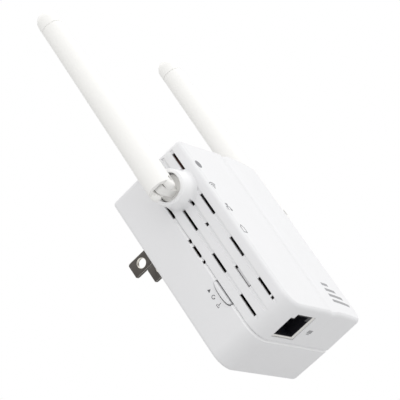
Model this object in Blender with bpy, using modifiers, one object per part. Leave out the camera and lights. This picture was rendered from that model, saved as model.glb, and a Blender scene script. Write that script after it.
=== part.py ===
"""Plug-in wifi range extender, in metres. +Z is up along the antennas, -Y the front, +Y into the wall.

Heights in the constants are measured from the bottom end, and the last step lowers everything
so that the origin is the middle of the wall face.
"""

import math

import bmesh
import bpy

MM = 0.001
GAP = 0.3 * MM  # between pieces that touch

# Case
CASE_WIDTH = 56.2 * MM
CASE_HEIGHT = 77.0 * MM
WALL = 1.8 * MM
CORNER_LOW = 7.0 * MM
CORNER_HIGH = 1.7 * MM
SPLIT_Y = -17.0 * MM
SPLIT_CHAMFER = 0.2 * MM
REAR_CHAMFER = 0.8 * MM
LIP_RISE = 1.4 * MM
LIP_INNER = 1.1 * MM
LIP_FOOT = (1.2 * MM, 2.3 * MM)
FRONT_EDGE = 1.4 * MM
REAR_EDGE = 1.2 * MM
DRAFT = 0.2 * MM
# Depth of the front face at stations across the width: flat panel, shallow dip, crest, falling side
FRONT_FACE = (
    (-40.0, 34.5), (-3.0, 34.6), (0.2, 34.55), (1.6, 34.15), (2.8, 34.0), (4.0, 34.2),
    (5.4, 34.55), (6.8, 34.65), (10.0, 34.6), (14.0, 34.4), (18.0, 34.1), (22.0, 33.7),
    (26.0, 33.2), (40.0, 31.3),
)
TOP_STATIONS = (-20.0, -3.0, 0.2, 1.6, 2.8, 4.0, 5.4, 6.8, 10.0, 14.0, 18.0, 22.0)
LOW_STATIONS = (-14.0, -3.0, 0.2, 1.6, 2.8, 4.0, 5.4, 6.8, 10.0, 14.0, 18.0)

# Vents: rows by depth, slots by height
ROW_Y = (-29.95 * MM, -25.55 * MM, -21.25 * MM)
SPLIT_ROW = (-16.2 * MM, -17.45 * MM)
SLOT_WIDTH = 1.15 * MM
GROOVE_WIDTH = 1.6 * MM
GROOVE_DEPTH = 0.5 * MM
GROOVE_ENDS = (5.2 * MM, 75.4 * MM)
# Slots in each row, front row first. The third row's top slot starts above the antenna boss
ROW_SLOTS = (
    ((66.0, 74.0), (45.4, 54.7), (26.1, 34.7), (8.6, 16.2), (6.7, 7.9)),
    ((53.3, 55.3), (43.7, 45.1), (24.5, 25.4), (16.0, 16.6)),
    ((69.2, 74.0), (45.4, 54.7), (26.1, 34.7), (6.7, 16.2)),
)
SHALLOW_SLOT = (16.3, 25.1)
SLOT_REACH_IN = 3.0 * MM
SHALLOW_REACH_IN = 1.2 * MM
SLOT_REACH_OUT = 1.5 * MM
SPLIT_SLOTS = ((54.9, 64.4), (43.3, 45.0), (36.8, 41.8), (34.0, 35.2))
SPLIT_SLOT_OPPOSITE = (16.0, 25.4)

# Plug
BLADE_PITCH = 12.7 * MM
BLADE_WIDTH = 6.35 * MM
BLADE_THICK = 1.5 * MM
BLADE_LENGTH = 17.1 * MM
BLADE_HOLE_R = 1.9 * MM
BLADE_HOLE_Y = 11.9 * MM
BLADE_Z = 62.3 * MM
BLADE_NOSE = 0.45 * MM
BLADE_TAPER = 1.3 * MM
BLADE_TIP_HALF = 0.35 * MM
BLADE_EDGE = 0.15 * MM
BLADE_CLEAR = 4.0 * MM  # how far the cutters pass the blade
BLADE_ROOT = -6.9 * MM
BLADE_TAIL = -8.4 * MM
BLADE_TAIL_HALF = 1.5 * MM
SPRING_THICK = 0.4 * MM
SPRING_REACH = 3.6 * MM

# Network jack
JACK_X = -14.5 * MM
JACK_WIDTH = 16.2 * MM
JACK_BACK_Y = -18.9 * MM
JACK_FRONT_Y = -32.3 * MM
JACK_FACE_Z = 0.3 * MM
JACK_LENGTH = 15.5 * MM
PORT_WIDTH = 12.0 * MM
PORT_WALL = 0.45 * MM
PORT_RIGHT_X = -6.3 * MM
PORT_REAR_Y = -19.3 * MM
PORT_BACK_Y = -20.4 * MM
PORT_FRONT_Y = -28.3 * MM
LATCH_WIDTH = 7.5 * MM
LATCH_FRONT_Y = -30.2 * MM
CONTACTS = 8
CONTACT_PITCH = 1.02 * MM
CONTACT_HALF = 0.25 * MM

# Antennas
BOSS_Y = -23.8 * MM
BOSS_Z = 61.8 * MM
BOSS_MOUTH_X = 35.0 * MM
BOSS_R = 6.7 * MM
BOSS_FLAT = 0.4 * MM
CUP_R = 5.3 * MM
CUP_FLOOR_X = 29.3 * MM
SHAFT_R = 3.0 * MM
PIN_X = 40.6 * MM
PIN_Z = 60.6 * MM
PIN_R = 0.9 * MM
SLEEVE_R_LOW = 5.0 * MM
SLEEVE_R_HIGH = 4.15 * MM
SLEEVE_TOP_Z = 139.0 * MM
TIP_Z = 146.4 * MM
SLEEVE_BORE = 3.3 * MM
FORK_GAP = 3.9 * MM
EAR_HALF = 2.3 * MM
EAR_DROP = 1.0 * MM
EAR_OUT = 4.85 * MM
EAR_ROUND = 1.0 * MM
CLIP_X = 25.55 * MM
CLIP_HALF = 0.25 * MM
CLIP_R = 4.3 * MM
TONGUE_R = 2.0 * MM

# Reset button
BUTTON_Z = 20.9 * MM
BUTTON_LENGTH = 10.6 * MM
BUTTON_RISE = 1.0 * MM

# Boards, posts and screws
POWER_BOARD_Y = (-13.0 * MM, -11.8 * MM)
MAIN_BOARD_Y = (-18.6 * MM, -17.4 * MM)
LED_Z = (65.2 * MM, 55.1 * MM, 45.0 * MM, 34.9 * MM)
POSTS = ((-22.4, 71.2), (22.4, 71.2), (21.9, 6.2))
POST_R = 3.4 * MM
THREAD_PITCH = 1.6
THREAD_ENDS = (1.8, 15.0)
THREAD_R = (1.02 * MM, 0.8 * MM)
REAR_POST_Y = (-18.3 * MM, -1.0 * MM)
FRONT_POST_Y = (-33.2 * MM, -18.6 * MM)
COUNTERBORE_R = 2.6 * MM
COUNTERBORE_Y = -8.0 * MM
SCREW_HOLE_R = 1.4 * MM
PILOT_HOLE_R = 1.3 * MM
PILOT_HOLE_Y = (-26.0 * MM, -16.0 * MM)
RAIL_X = (18.2 * MM, 19.6 * MM)
RAIL_Y = (-11.5 * MM, -1.0 * MM)
RAIL_Z = (12.0 * MM, 50.0 * MM)

# Parts on the power board
POWER_BOARD_HALF = 18.6 * MM
POWER_BOARD_Z = (10.4 * MM, 72.0 * MM)
CORE_HALF = 8.5 * MM
CORE_BACK_Y = -2.7 * MM
CORE_Z = (24.0 * MM, 38.0 * MM)
CORE_WINDOW_X = (2.6 * MM, 6.1 * MM)
CORE_WINDOW_Z = (26.4 * MM, 35.6 * MM)
BRIDGE_X = (5.0 * MM, 12.0 * MM)
BRIDGE_RISE = 2.6 * MM
BRIDGE_Z = (42.5 * MM, 49.5 * MM)
FUSE_X = -9.0 * MM
FUSE_R = 1.9 * MM
FUSE_Z = (41.5 * MM, 51.0 * MM)
HEADER_X = (6.0 * MM, 14.0 * MM)
HEADER_Z = (56.0 * MM, 58.6 * MM)

# Parts on the main board
MAIN_BOARD_HALF = 24.4 * MM
MAIN_BOARD_Z = (3.4 * MM, 73.0 * MM)
SHIELD_X = (-4.0 * MM, 16.0 * MM)
SHIELD_RISE = 3.0 * MM
SHIELD_Z = (30.0 * MM, 50.0 * MM)
LED_X = (-23.4 * MM, -21.8 * MM)
LED_HALF = 0.8 * MM
LED_RISE = 0.7 * MM
GUIDE_BAR_X = (-20.9 * MM, -19.3 * MM)
GUIDE_BAR_Y = (-27.4 * MM, -25.6 * MM)
GUIDE_BAR_Z = (33.0 * MM, 67.2 * MM)
GUIDE_POST_X = -24.3 * MM
GUIDE_FRONT_Y = -33.5 * MM
SWITCH_X = (-23.2 * MM, -19.9 * MM)
SWITCH_FRONT_Y = -13.4 * MM
SWITCH_Z = (17.9 * MM, 23.9 * MM)
PLUNGER_X = -23.65 * MM
PLUNGER_Y = -15.2 * MM
COAX_R = 0.65 * MM

# Inside of the swivels and antennas
BOSS_ROOT_X = 26.0 * MM
BOSS_FLARE = 1.2 * MM
CLIP_GROOVE = 0.6 * MM
CLIP_GROOVE_X = (25.1 * MM, 26.0 * MM)
SHAFT_END_X = 24.6 * MM
LEAD_BORE_R = 1.1 * MM
LEAD_BORE_X = 28.0 * MM
SLEEVE_LOW_Z = -3.4 * MM
HINGE_ROOM_R = 3.2 * MM
HINGE_ROOM_Z = 6.0 * MM
SLEEVE_STEP = 0.7 * MM
TIP_SOCKET = 8.0 * MM
PIN_HALF = 4.3 * MM
TIP_PLUG = 6.0 * MM
TIP_BORE_R = 1.6 * MM
RADIATOR_R = (0.45 * MM, 1.5 * MM, 0.7 * MM)
RADIATOR_LOW = 12 * MM
RADIATOR_COIL = (14 * MM, 22 * MM)


for old in list(bpy.data.objects):
    bpy.data.objects.remove(old, do_unlink=True)

helpers = bpy.data.collections.new("helpers")
bpy.context.scene.collection.children.link(helpers)
helpers.hide_render = True


# ---------------------------------------------------------------- shape helpers


def linked(name, mesh, where=(0.0, 0.0, 0.0)):
    obj = bpy.data.objects.new(name, mesh)
    bpy.context.scene.collection.objects.link(obj)
    obj.location = where
    return obj


def finished(name, bm, where):
    bm.normal_update()
    bmesh.ops.recalc_face_normals(bm, faces=bm.faces[:])
    mesh = bpy.data.meshes.new(name)
    bm.to_mesh(mesh)
    bm.free()
    return linked(name, mesh, where)


def helper(obj):
    """Moves a cutter or a joining body out of the render."""
    bpy.context.scene.collection.objects.unlink(obj)
    helpers.objects.link(obj)
    obj.hide_render = True
    obj.display_type = "WIRE"
    return obj


def boxes(name, limits, where=(0.0, 0.0, 0.0)):
    """One or more separate blocks, each given as its low and high corner."""
    bm = bmesh.new()
    for low, high in limits:
        made = bmesh.ops.create_cube(bm, size=1.0)["verts"]
        for vert in made:
            vert.co = [low[i] + (high[i] - low[i]) * (vert.co[i] + 0.5) for i in range(3)]
    return finished(name, bm, where)


def prism(name, points, low, high, plane, where=(0.0, 0.0, 0.0)):
    """An outline in one plane, extruded along the third axis from low to high."""
    order = {"XY": (0, 1, 2), "XZ": (0, 2, 1), "YZ": (1, 2, 0)}[plane]
    bm = bmesh.new()
    ends = []
    for level in (low, high):
        verts = []
        for point in points:
            co = [0.0, 0.0, 0.0]
            co[order[0]] = point[0]
            co[order[1]] = point[1]
            co[order[2]] = level
            verts.append(bm.verts.new(co))
        ends.append(verts)
    bm.faces.new(ends[0])
    bm.faces.new(ends[1])
    for i in range(len(points)):
        j = (i + 1) % len(points)
        bm.faces.new((ends[0][i], ends[0][j], ends[1][j], ends[1][i]))
    return finished(name, bm, where)


def loft(name, rings, where=(0.0, 0.0, 0.0)):
    """Joins closed rings of equal length, and closes both ends."""
    bm = bmesh.new()
    rows = [[bm.verts.new(co) for co in ring] for ring in rings]
    for first, second in zip(rows, rows[1:]):
        for i in range(len(first)):
            j = (i + 1) % len(first)
            bm.faces.new((first[i], first[j], second[j], second[i]))
    bm.faces.new(rows[0])
    bm.faces.new(rows[-1])
    return finished(name, bm, where)


def rods(name, parts, axis, where=(0.0, 0.0, 0.0)):
    """Separate cylinders along one axis: (centre, radius, low, high, segments) each."""
    bm = bmesh.new()
    for centre, radius, low, high, segments in parts:
        made = bmesh.ops.create_cone(
            bm,
            cap_ends=True,
            segments=segments,
            radius1=radius,
            radius2=radius,
            depth=high - low,
        )["verts"]
        middle = (low + high) / 2
        for vert in made:
            x, y, z = vert.co
            if axis == "X":
                vert.co = (middle + z, centre[0] + x, centre[1] + y)
            elif axis == "Y":
                vert.co = (centre[0] + x, middle + z, centre[1] + y)
            else:
                vert.co = (centre[0] + x, centre[1] + y, middle + z)
    return finished(name, bm, where)


def turned(name, profile, segments, turn, where, closed=False):
    """Spins (radius, height) points, listed from top to bottom, about the object's own Z."""
    mesh = bpy.data.meshes.new(name)
    edges = [(i, i + 1) for i in range(len(profile) - 1)]
    if closed:
        edges.append((len(profile) - 1, 0))
    mesh.from_pydata([(r, 0.0, h) for r, h in profile], edges, [])
    obj = linked(name, mesh, where)
    obj.rotation_euler = turn
    screw = obj.modifiers.new("turn", "SCREW")
    screw.angle = 2 * math.pi
    screw.steps = segments
    screw.render_steps = segments
    screw.use_merge_vertices = True
    screw.merge_threshold = 0.00001
    screw.use_smooth_shade = True
    return obj


def boolean(obj, tool, operation):
    modifier = obj.modifiers.new(tool.name, "BOOLEAN")
    modifier.operation = operation
    modifier.solver = "EXACT"
    modifier.object = tool
    if tool.name not in helpers.objects:
        helper(tool)


def cut(obj, tool):
    boolean(obj, tool, "DIFFERENCE")


def join(obj, tool):
    boolean(obj, tool, "UNION")


def soften(obj, width, segments=2, angle=40.0):
    bevel = obj.modifiers.new("edges", "BEVEL")
    bevel.width = width
    bevel.segments = segments
    bevel.limit_method = "ANGLE"
    bevel.angle_limit = math.radians(angle)


def paint(obj, colour, roughness, metallic=0.0):
    material = bpy.data.materials.new(obj.name)
    material.use_nodes = True
    shader = material.node_tree.nodes["Principled BSDF"]
    shader.inputs["Base Color"].default_value = (*colour, 1.0)
    shader.inputs["Roughness"].default_value = roughness
    shader.inputs["Metallic"].default_value = metallic
    obj.data.materials.clear()
    obj.data.materials.append(material)
    return obj


def disc(radius, segments, centre=(0.0, 0.0), start=0.0, end=360.0):
    """Points on an arc, in degrees, with both ends when it isn't a full circle."""
    whole = abs(end - start) >= 360.0
    count = segments if whole else segments + 1
    points = []
    for k in range(count):
        a = math.radians(start + (end - start) * k / segments)
        points.append((centre[0] + radius * math.cos(a), centre[1] + radius * math.sin(a)))
    return points


WHITE = (0.86, 0.86, 0.87)
WARM_WHITE = (0.87, 0.86, 0.84)
GREEN = (0.03, 0.16, 0.07)
BLACK = (0.02, 0.02, 0.022)
STEEL = (0.55, 0.55, 0.56)
NICKEL = (0.45, 0.44, 0.42)
GOLD = (0.75, 0.55, 0.22)


# ---------------------------------------------------------------- case


def front_depth(x):
    """Depth of the front face at a given place across the width."""
    x = x / MM
    for (x0, d0), (x1, d1) in zip(FRONT_FACE, FRONT_FACE[1:]):
        if x <= x1:
            return MM * (d0 + (d1 - d0) * (x - x0) / (x1 - x0))
    return MM * FRONT_FACE[-1][1]


def outline(inset):
    """The case's outline in X and Z, drawn in by inset."""
    half = CASE_WIDTH / 2 - inset
    low_r = CORNER_LOW - inset
    high_r = max(CORNER_HIGH - inset, 0.25 * MM)
    top = CASE_HEIGHT - inset
    points = disc(low_r, 9, (half - low_r, inset + low_r), -90.0, 0.0)
    points += disc(high_r, 4, (half - high_r, top - high_r), 0.0, 90.0)
    points += [(x * MM, top) for x in reversed(TOP_STATIONS)]
    points += disc(high_r, 4, (-half + high_r, top - high_r), 90.0, 180.0)
    points += disc(low_r, 9, (-half + low_r, inset + low_r), 180.0, 270.0)
    points += [(x * MM, inset) for x in LOW_STATIONS]
    return points


def ring(inset, y):
    return [(x, y, z) for x, z in outline(inset)]


def front_tool(name, back_off):
    """Everything in front of the front face, or of the same face moved back."""
    points = [(x * MM, -d * MM + back_off) for x, d in FRONT_FACE]
    points += [(40 * MM, -60 * MM), (-40 * MM, -60 * MM)]
    return prism(name, points, -20 * MM, 100 * MM, "XY")


def groove(side, y):
    """A shallow V along one side of the case."""
    x = side * CASE_WIDTH / 2
    points = [
        (x + side * 1.0 * MM, y - GROOVE_WIDTH / 2 - 0.6 * MM),
        (x - side * GROOVE_DEPTH, y - 0.35 * MM),
        (x - side * GROOVE_DEPTH, y + 0.35 * MM),
        (x + side * 1.0 * MM, y + GROOVE_WIDTH / 2 + 0.6 * MM),
    ]
    return points


def grooves(name):
    bm = bmesh.new()
    for side in (-1, 1):
        for y in ROW_Y:
            ends = []
            for z in GROOVE_ENDS:
                ends.append([bm.verts.new((px, py, z)) for px, py in groove(side, y)])
            bm.faces.new(ends[0])
            bm.faces.new(ends[1])
            for i in range(4):
                j = (i + 1) % 4
                bm.faces.new((ends[0][i], ends[0][j], ends[1][j], ends[1][i]))
    return finished(name, bm, (0.0, 0.0, 0.0))


def side_box(side, x_in, x_out, y0, y1, z0, z1):
    low_x = min(side * x_in, side * x_out)
    high_x = max(side * x_in, side * x_out)
    return ((low_x, min(y0, y1), z0), (high_x, max(y0, y1), z1))


def vent_slots(name):
    limits = []
    inner = CASE_WIDTH / 2 - SLOT_REACH_IN
    outer = CASE_WIDTH / 2 + SLOT_REACH_OUT
    for side in (-1, 1):
        for y, slots in zip(ROW_Y, ROW_SLOTS):
            y0 = y - SLOT_WIDTH / 2
            y1 = y + SLOT_WIDTH / 2
            for z0, z1 in slots:
                limits.append(side_box(side, inner, outer, y0, y1, z0 * MM, z1 * MM))
    return boxes(name, limits)


def shallow_slots(name):
    limits = []
    inner = CASE_WIDTH / 2 - SHALLOW_REACH_IN
    outer = CASE_WIDTH / 2 + SLOT_REACH_OUT
    y0 = ROW_Y[1] - SLOT_WIDTH / 2
    y1 = ROW_Y[1] + SLOT_WIDTH / 2
    z0, z1 = SHALLOW_SLOT
    for side in (-1, 1):
        limits.append(side_box(side, inner, outer, y0, y1, z0 * MM, z1 * MM))
    return boxes(name, limits)


def split_slots(name):
    limits = []
    inner = CASE_WIDTH / 2 - SLOT_REACH_IN
    outer = CASE_WIDTH / 2 + SLOT_REACH_OUT
    for side in (-1, 1):
        slots = list(SPLIT_SLOTS)
        if side > 0:
            slots.append(SPLIT_SLOT_OPPOSITE)
        for z0, z1 in slots:
            limits.append(side_box(side, inner, outer, *SPLIT_ROW, z0 * MM, z1 * MM))
    return boxes(name, limits)


def post_rods(name, radius, low, high, segments=28):
    parts = [((x * MM, z * MM), radius, low, high, segments) for x, z in POSTS]
    return rods(name, parts, "Y")


def rear_cover():
    # Back face, rounded edge, side, rim, lip and inside, in one run of rings
    rings = []
    for degrees in (90.0, 60.0, 30.0, 0.0):
        a = math.radians(degrees)
        inset = DRAFT + REAR_EDGE * (1.0 - math.cos(a))
        rings.append(ring(inset, -REAR_EDGE + REAR_EDGE * math.sin(a)))
    rim = SPLIT_Y + GAP / 2
    rings += [
        ring(0.0, rim + REAR_CHAMFER),
        ring(REAR_CHAMFER, rim),
        ring(WALL + GAP, rim),
        ring(WALL + GAP, rim - LIP_RISE),
        ring(WALL + LIP_INNER, rim - LIP_RISE),
        ring(WALL + LIP_INNER, rim + LIP_FOOT[0]),
        ring(WALL, rim + LIP_FOOT[1]),
        ring(WALL, -WALL),
    ]
    body = loft("rear_cover", rings)
    join(body, post_rods("rear_posts", POST_R, *REAR_POST_Y))
    # Rails that hold the edges of the power board
    rails = boxes(
        "board_rails",
        [
            ((-RAIL_X[1], RAIL_Y[0], RAIL_Z[0]), (-RAIL_X[0], RAIL_Y[1], RAIL_Z[1])),
            ((RAIL_X[0], RAIL_Y[0], RAIL_Z[0]), (RAIL_X[1], RAIL_Y[1], RAIL_Z[1])),
        ],
    )
    join(body, rails)
    cut(body, post_rods("rear_counterbores", COUNTERBORE_R, COUNTERBORE_Y, 1.0 * MM))
    cut(body, post_rods("rear_screw_holes", SCREW_HOLE_R, -30.0 * MM, COUNTERBORE_Y + 1.0 * MM, 20))
    opening = boxes(
        "rear_openings",
        [
            ((-11.3 * MM, -6.0 * MM, BLADE_Z - 5.8 * MM), (11.3 * MM, 1.0 * MM, BLADE_Z + 5.8 * MM)),
            ((-26.5 * MM, -20 * MM, BUTTON_Z - 4.9 * MM), (-24.0 * MM, -13.4 * MM, BUTTON_Z + 4.9 * MM)),
        ],
    )
    cut(body, opening)
    cut(body, split_slots("rear_split_slots"))
    cut(body, button_opening("button_opening"))
    return paint(body, WHITE, 0.34)


def button_shape(half_length, depth, grow):
    """Half-moon in Y and Z: straight on the parting line, bulging towards the wall."""
    base = SPLIT_Y - 2.0 * MM if grow > 0 else SPLIT_Y + 0.35 * MM
    points = []
    for k in range(17):
        a = math.pi * k / 16
        z = (half_length + grow) * math.cos(a)
        bulge = (depth + grow) * math.sin(a) ** 0.6
        points.append((SPLIT_Y + 0.35 * MM + bulge, BUTTON_Z + z))
    return [(base, BUTTON_Z + half_length + grow)] + points[1:-1] + [
        (base, BUTTON_Z - half_length - grow)
    ]


def port_face(grow):
    """Outline in X and Y of the jack's face: thin walls round the port's left and its latch notch."""
    left = JACK_X - PORT_WIDTH / 2 - PORT_WALL - grow
    notch = JACK_X - LATCH_WIDTH / 2 - PORT_WALL - grow
    right = PORT_RIGHT_X + grow
    rear = PORT_REAR_Y + grow
    shoulder = PORT_FRONT_Y - PORT_WALL - grow
    front = LATCH_FRONT_Y - PORT_WALL - grow
    return [(left, rear), (right, rear), (right, front), (notch, front), (notch, shoulder), (left, shoulder)]


def button_opening(name):
    points = button_shape(BUTTON_LENGTH / 2, 1.9 * MM, GAP)
    return prism(name, points, -30 * MM, -25.0 * MM, "YZ")


def front_cover():
    rings = [
        ring(SPLIT_CHAMFER, SPLIT_Y - GAP / 2),
        ring(0.0, SPLIT_Y - GAP / 2 - SPLIT_CHAMFER),
    ]
    for degrees in (0.0, 20.0, 40.0, 60.0, 78.0):
        a = math.radians(degrees)
        inset = DRAFT + FRONT_EDGE * (1.0 - math.cos(a))
        drop = FRONT_EDGE * (1.0 - math.sin(a))
        rings.append([(x, -front_depth(x) + drop, z) for x, z in outline(inset)])
    rings.append(ring(DRAFT + FRONT_EDGE * 1.05, -37 * MM))
    body = loft("front_cover", rings)
    cut(body, front_tool("front_surface", 0.0))
    cut(body, grooves("side_grooves"))
    for side, word in ((-1, "left"), (1, "right")):
        profile = [
            (0.0, BOSS_MOUTH_X),
            (BOSS_R - 0.45 * MM, BOSS_MOUTH_X),
            (BOSS_R - 0.12 * MM, BOSS_MOUTH_X - 0.15 * MM),
            (BOSS_R, BOSS_MOUTH_X - 0.5 * MM),
            (BOSS_R + 0.15 * MM, 31.0 * MM),
            (BOSS_R + 0.35 * MM, 29.4 * MM),
            (BOSS_R + 0.8 * MM, 28.4 * MM),
            (BOSS_R + BOSS_FLARE, 27.9 * MM),
            (BOSS_R + BOSS_FLARE, BOSS_ROOT_X),
            (0.0, BOSS_ROOT_X),
        ]
        turn = (0.0, side * math.pi / 2, 0.0)
        boss = turned("boss_" + word, profile, 40, turn, (0.0, BOSS_Y, BOSS_Z))
        flat = ((-50 * MM, SPLIT_Y - BOSS_FLAT, 40 * MM), (50 * MM, 0.0, 80 * MM))
        cut(boss, boxes("boss_flat_" + word, [flat]))
        join(body, boss)
    inside = loft("front_inside", [ring(WALL, -10 * MM), ring(WALL, -40 * MM)])
    cut(inside, front_tool("front_inner_surface", WALL))
    cut(body, inside)
    join(body, post_rods("front_posts", POST_R, *FRONT_POST_Y))
    cut(body, vent_slots("vent_slots"))
    cut(body, shallow_slots("shallow_slots"))
    cut(body, split_slots("front_split_slots"))
    cut(body, prism("port_cut_out", port_face(GAP / 2), -2 * MM, 3 * MM, "XY"))
    pockets = [
        ((-25.2 * MM, -33.9 * MM, z - 1.2 * MM), (-21.4 * MM, -30.0 * MM, z + 1.2 * MM))
        for z in LED_Z
    ]
    cut(body, boxes("led_pockets", pockets))
    for side, word in ((-1, "left"), (1, "right")):
        profile = [
            (0.0, 42 * MM),
            (CUP_R, 42 * MM),
            (CUP_R, CUP_FLOOR_X),
            (SHAFT_R + GAP, CUP_FLOOR_X),
            (SHAFT_R + GAP, 24 * MM),
            (0.0, 24 * MM),
        ]
        turn = (0.0, side * math.pi / 2, 0.0)
        cut(body, turned("cup_bore_" + word, profile, 40, turn, (0.0, BOSS_Y, BOSS_Z)))
    cut(body, post_rods("pilot_holes", PILOT_HOLE_R, *PILOT_HOLE_Y, 20))
    return paint(body, WHITE, 0.3)


# ---------------------------------------------------------------- plug


def blade(word, side):
    x = side * BLADE_PITCH / 2
    half = BLADE_WIDTH / 2
    points = [
        (BLADE_TAIL, -BLADE_TAIL_HALF),
        (BLADE_ROOT, -BLADE_TAIL_HALF),
        (BLADE_ROOT, -half),
        (BLADE_LENGTH - BLADE_NOSE, -half),
        (BLADE_LENGTH, -half + BLADE_NOSE),
        (BLADE_LENGTH, half - BLADE_NOSE),
        (BLADE_LENGTH - BLADE_NOSE, half),
        (BLADE_ROOT, half),
        (BLADE_ROOT, BLADE_TAIL_HALF),
        (BLADE_TAIL, BLADE_TAIL_HALF),
    ]
    where = (x, 0.0, BLADE_Z)
    body = prism("blade_" + word, points, -BLADE_THICK / 2, BLADE_THICK / 2, "YZ", where)
    hole = rods(
        "blade_hole_" + word,
        [((BLADE_HOLE_Y, BLADE_Z), BLADE_HOLE_R, x - BLADE_CLEAR, x + BLADE_CLEAR, 28)],
        "X",
    )
    # Both sides of the nose slope in towards its end
    bottom = BLADE_Z - half - BLADE_CLEAR
    top = BLADE_Z + half + BLADE_CLEAR
    for face, sign in (("in", -1), ("out", 1)):
        thick = x + sign * BLADE_THICK / 2
        thin = x + sign * BLADE_TIP_HALF
        slope = [
            (thick, BLADE_LENGTH - BLADE_TAPER),
            (thin, BLADE_LENGTH),
            (thin, BLADE_LENGTH + BLADE_CLEAR),
            (x + sign * BLADE_CLEAR, BLADE_LENGTH + BLADE_CLEAR),
            (x + sign * BLADE_CLEAR, BLADE_LENGTH - BLADE_TAPER),
        ]
        cut(body, prism("nose_slope_%s_%s" % (face, word), slope, bottom, top, "XY"))
    cut(body, hole)
    soften(body, BLADE_EDGE)
    return paint(body, NICKEL, 0.28, 1.0)


def blade_carrier():
    body = boxes(
        "blade_carrier",
        [((-13.6 * MM, -6.6 * MM, BLADE_Z - 7.6 * MM), (13.6 * MM, -2.1 * MM, BLADE_Z + 7.6 * MM))],
    )
    face = boxes(
        "carrier_face",
        [((-11.0 * MM, -4.0 * MM, BLADE_Z - 5.5 * MM), (11.0 * MM, -0.1 * MM, BLADE_Z + 5.5 * MM))],
    )
    join(body, face)
    slots = []
    for side in (-1, 1):
        x = side * BLADE_PITCH / 2
        dx = BLADE_THICK / 2 + 0.2 * MM
        dz = BLADE_WIDTH / 2 + 0.2 * MM
        slots.append(((x - dx, -10 * MM, BLADE_Z - dz), (x + dx, 2 * MM, BLADE_Z + dz)))
    cut(body, boxes("carrier_slots", slots))
    soften(body, 0.25 * MM, 1)
    return paint(body, (0.8, 0.8, 0.79), 0.45)


def contact_spring(word, side):
    """Bent strip from the root of a blade down to the power board."""
    x = side * (BLADE_PITCH / 2 - BLADE_THICK / 2 - GAP)
    foot = POWER_BOARD_Y[1] + GAP
    top = BLADE_ROOT - GAP
    points = [
        (x, top),
        (x, foot),
        (x - side * SPRING_REACH, foot),
        (x - side * SPRING_REACH, foot + SPRING_THICK),
        (x - side * SPRING_THICK, foot + SPRING_THICK),
        (x - side * SPRING_THICK, top),
    ]
    name = "contact_spring_" + word
    body = prism(name, points, BLADE_Z - 1.4 * MM, BLADE_Z + 1.4 * MM, "XY")
    return paint(body, GOLD, 0.35, 1.0)


# ---------------------------------------------------------------- power board


def power_parts():
    board = boxes(
        "power_board",
        [
            (
                (-POWER_BOARD_HALF, POWER_BOARD_Y[0], POWER_BOARD_Z[0]),
                (POWER_BOARD_HALF, POWER_BOARD_Y[1], POWER_BOARD_Z[1]),
            ),
        ],
    )
    paint(board, GREEN, 0.4)

    top = POWER_BOARD_Y[1] + GAP
    core = prism(
        "transformer_core",
        [
            (-CORE_HALF, top + 1.0 * MM),
            (CORE_HALF, top + 1.0 * MM),
            (CORE_HALF, CORE_BACK_Y),
            (-CORE_HALF, CORE_BACK_Y),
        ],
        *CORE_Z,
        "XY",
    )
    windows = boxes(
        "core_windows",
        [
            ((-CORE_WINDOW_X[1], -20 * MM, CORE_WINDOW_Z[0]), (-CORE_WINDOW_X[0], 0.0, CORE_WINDOW_Z[1])),
            ((CORE_WINDOW_X[0], -20 * MM, CORE_WINDOW_Z[0]), (CORE_WINDOW_X[1], 0.0, CORE_WINDOW_Z[1])),
        ],
    )
    cut(core, windows)
    soften(core, 0.3 * MM, 1)
    paint(core, (0.09, 0.09, 0.1), 0.6)

    # Coil round the core's middle leg, seen in both windows
    coil = boxes(
        "transformer_winding",
        [((-5.7 * MM, -13.5 * MM, 26.8 * MM), (5.7 * MM, -0.9 * MM, 35.2 * MM))],
    )
    cut(
        coil,
        boxes(
            "coil_trim",
            [
                ((-30 * MM, -20 * MM, 20 * MM), (30 * MM, top + 0.2 * MM, 45 * MM)),
                ((-30 * MM, -2.0 * MM, 20 * MM), (30 * MM, 5 * MM, 45 * MM)),
            ],
        ),
    )
    leg = boxes(
        "coil_bore",
        [((-2.9 * MM, top + 0.7 * MM, 20 * MM), (2.9 * MM, -2.4 * MM, 45 * MM))],
    )
    cut(coil, leg)
    soften(coil, 0.4 * MM, 1)
    paint(coil, (0.75, 0.6, 0.1), 0.5)

    for name, x0, x1, z, radius, colour in (
        ("input_capacitor", -16.0, -2.5, 17.0, 4.2, (0.05, 0.06, 0.1)),
        ("output_capacitor", 2.0, 13.5, 17.0, 3.4, (0.04, 0.1, 0.08)),
    ):
        r = radius * MM
        profile = [
            (0.0, x1 * MM),
            (r - 0.5 * MM, x1 * MM),
            (r, (x1 - 0.4) * MM),
            (r, (x0 + 2.6) * MM),
            (r - 0.35 * MM, (x0 + 2.1) * MM),
            (r, (x0 + 1.6) * MM),
            (r, (x0 + 0.4) * MM),
            (r - 0.5 * MM, x0 * MM),
            (0.0, x0 * MM),
        ]
        where = (0.0, POWER_BOARD_Y[1] + GAP + r, z * MM)
        body = turned(name, profile, 24, (0.0, math.pi / 2, 0.0), where)
        paint(body, colour, 0.4)

    bridge = boxes(
        "bridge_rectifier",
        [((BRIDGE_X[0], top, BRIDGE_Z[0]), (BRIDGE_X[1], top + BRIDGE_RISE, BRIDGE_Z[1]))],
    )
    soften(bridge, 0.3 * MM, 1)
    paint(bridge, BLACK, 0.5)

    fuse = rods(
        "fuse",
        [((FUSE_X, top + 2.0 * MM), FUSE_R, *FUSE_Z, 20)],
        "Z",
    )
    soften(fuse, 0.4 * MM, 2)
    paint(fuse, (0.12, 0.3, 0.2), 0.4)


# ---------------------------------------------------------------- main board


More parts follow.
